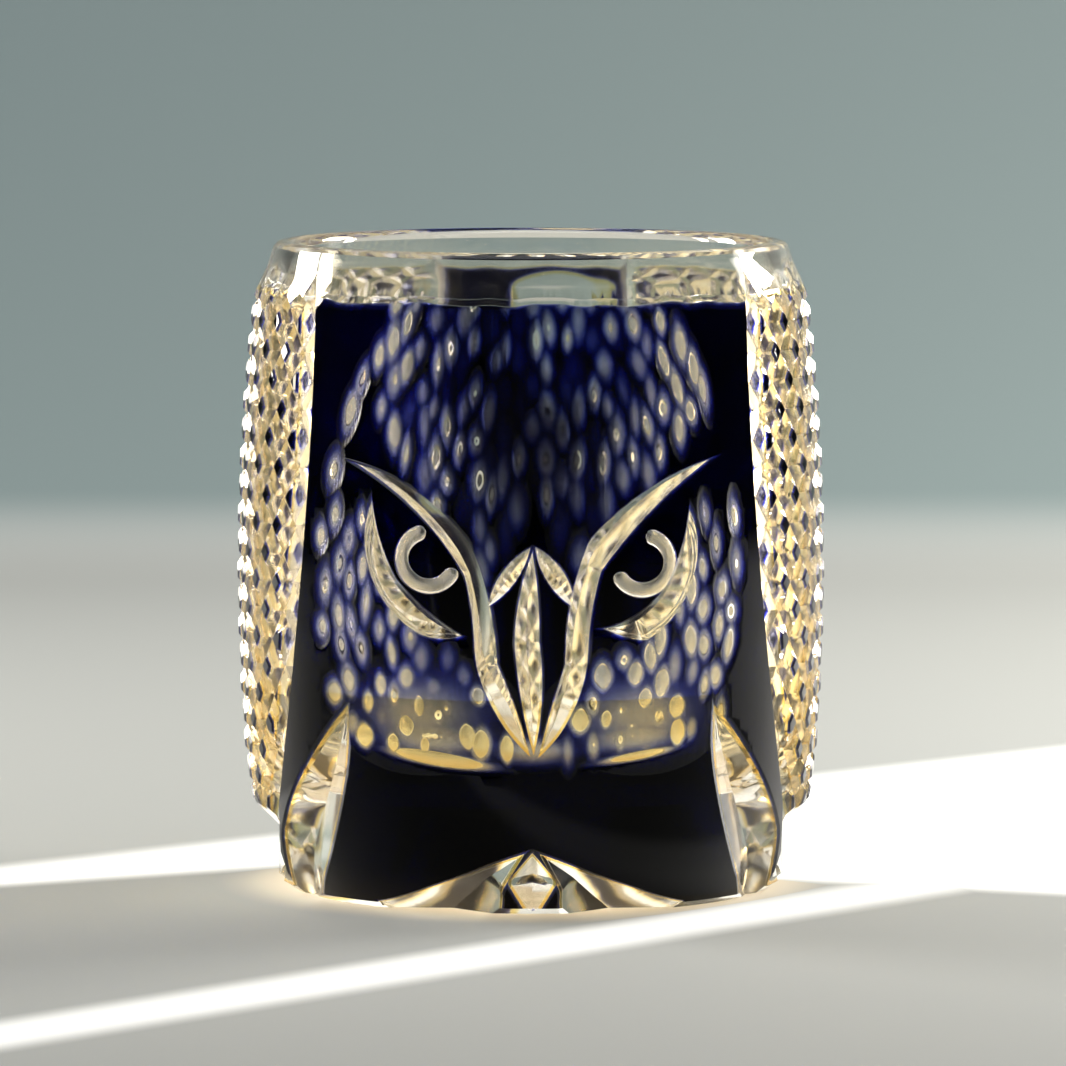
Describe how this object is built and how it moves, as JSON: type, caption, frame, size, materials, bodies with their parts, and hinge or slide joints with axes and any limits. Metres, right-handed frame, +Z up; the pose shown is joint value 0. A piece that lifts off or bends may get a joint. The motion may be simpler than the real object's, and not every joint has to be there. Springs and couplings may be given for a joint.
{
  "type": "drinking tumbler",
  "caption": "Cut crystal tumbler cased in amber and cobalt blue glass, with an owl face cut through the blue front and hobnail wings on the sides.",
  "frame": {"origin": "centre of the flat foot's underside", "axes": "+Z up along the vessel's axis, -Y towards the side with the owl's face, +X to the right as seen from the front"},
  "size_m": [0.084, 0.084, 0.092],
  "materials": {
    "crystal": "polished clear crystal, faintly warm",
    "amber_glass": "polished amber glass layer",
    "cobalt_glass": "polished cobalt blue glass layer"
  },
  "bodies": {
    "root": {"crystal_body": "crystal", "amber_face": "amber_glass", "amber_beak_left": "amber_glass", "amber_beak_right": "amber_glass", "amber_back": "amber_glass", "amber_wing_left": "amber_glass", "amber_wing_right": "amber_glass", "blue_face": "cobalt_glass", "blue_beak_left": "cobalt_glass", "blue_beak_right": "cobalt_glass", "blue_back": "cobalt_glass", "blue_wing_left": "cobalt_glass", "blue_wing_right": "cobalt_glass"}
  },
  "joints": []
}
